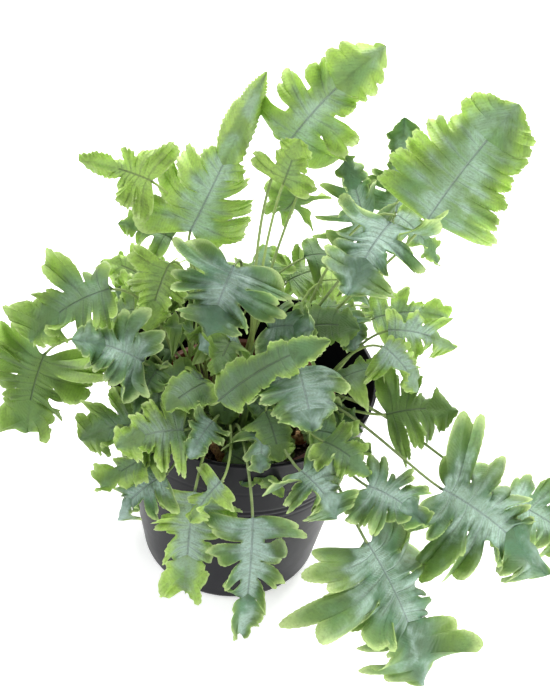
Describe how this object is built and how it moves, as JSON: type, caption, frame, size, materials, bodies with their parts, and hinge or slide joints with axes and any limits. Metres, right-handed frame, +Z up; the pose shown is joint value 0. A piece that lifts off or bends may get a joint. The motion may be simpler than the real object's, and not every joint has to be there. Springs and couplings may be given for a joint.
{
  "type": "potted fern",
  "caption": "Potted polypody fern with wavy, deeply lobed blue-green fronds on thin stems, in a dark round satin plastic planter.",
  "frame": {"origin": "centre of the planter's flat underside", "axes": "+Z up along the planter's axis, out of its mouth; -Y towards the side where most fronds trail over the rim"},
  "size_m": [0.5047, 0.4141, 0.4643],
  "materials": {
    "planter_plastic": "satin",
    "nursery_plastic": "matte",
    "potting_mix": "matte",
    "rhizome_skin": "matte",
    "frond_blue_green": "satin",
    "frond_yellow_green": "satin",
    "frond_dark_green": "satin"
  },
  "bodies": {
    "root": {"planter": "planter_plastic", "nursery_pot": "nursery_plastic", "potting_mix": "potting_mix", "rhizome_1": "rhizome_skin", "rhizome_2": "rhizome_skin", "rhizome_3": "rhizome_skin", "rhizome_4": "rhizome_skin", "rhizome_5": "rhizome_skin", "frond_top_left": "frond_blue_green", "frond_back_left": "frond_yellow_green", "frond_top_centre": "frond_yellow_green", "frond_under_top": "frond_yellow_green", "frond_behind_top": "frond_blue_green", "frond_high_right": "frond_yellow_green", "frond_strap": "frond_blue_green", "frond_strap_back": "frond_blue_green", "frond_butterfly": "frond_blue_green", "frond_small_hang": "frond_blue_green", "frond_right_a": "frond_yellow_green", "frond_right_b": "frond_blue_green", "frond_right_c": "frond_blue_green", "frond_right_d": "frond_blue_green", "frond_star": "frond_blue_green", "frond_blue_small": "frond_blue_green", "frond_left_high": "frond_blue_green", "frond_left_yellow": "frond_yellow_green", "frond_left_back_a": "frond_blue_green", "frond_left_back_b": "frond_blue_green", "frond_left": "frond_blue_green", "frond_far_left": "frond_yellow_green", "frond_over_rim": "frond_blue_green", "frond_dark_inner": "frond_dark_green", "frond_pale_inner": "frond_yellow_green", "frond_serrated": "frond_blue_green", "frond_serrated_low": "frond_blue_green", "frond_centre_right": "frond_blue_green", "frond_front_star": "frond_blue_green", "frond_front_left_a": "frond_blue_green", "frond_front_left_b": "frond_blue_green", "frond_front_left_c": "frond_yellow_green", "frond_front_hang": "frond_blue_green", "frond_front_big": "frond_blue_green", "frond_right_big": "frond_blue_green", "frond_far_right": "frond_blue_green", "frond_dark_rib": "frond_dark_green", "frond_low_left_a": "frond_blue_green", "frond_low_left_b": "frond_blue_green", "frond_green_stipe": "frond_yellow_green", "frond_small_right": "frond_blue_green", "frond_blue_right": "frond_blue_green", "frond_inner_dark": "frond_dark_green", "frond_small_upright": "frond_blue_green", "frond_back_a": "frond_blue_green", "frond_back_b": "frond_blue_green", "frond_back_c": "frond_blue_green", "frond_back_d": "frond_blue_green", "crosier_1": "frond_yellow_green", "crosier_2": "frond_yellow_green"}
  },
  "joints": []
}
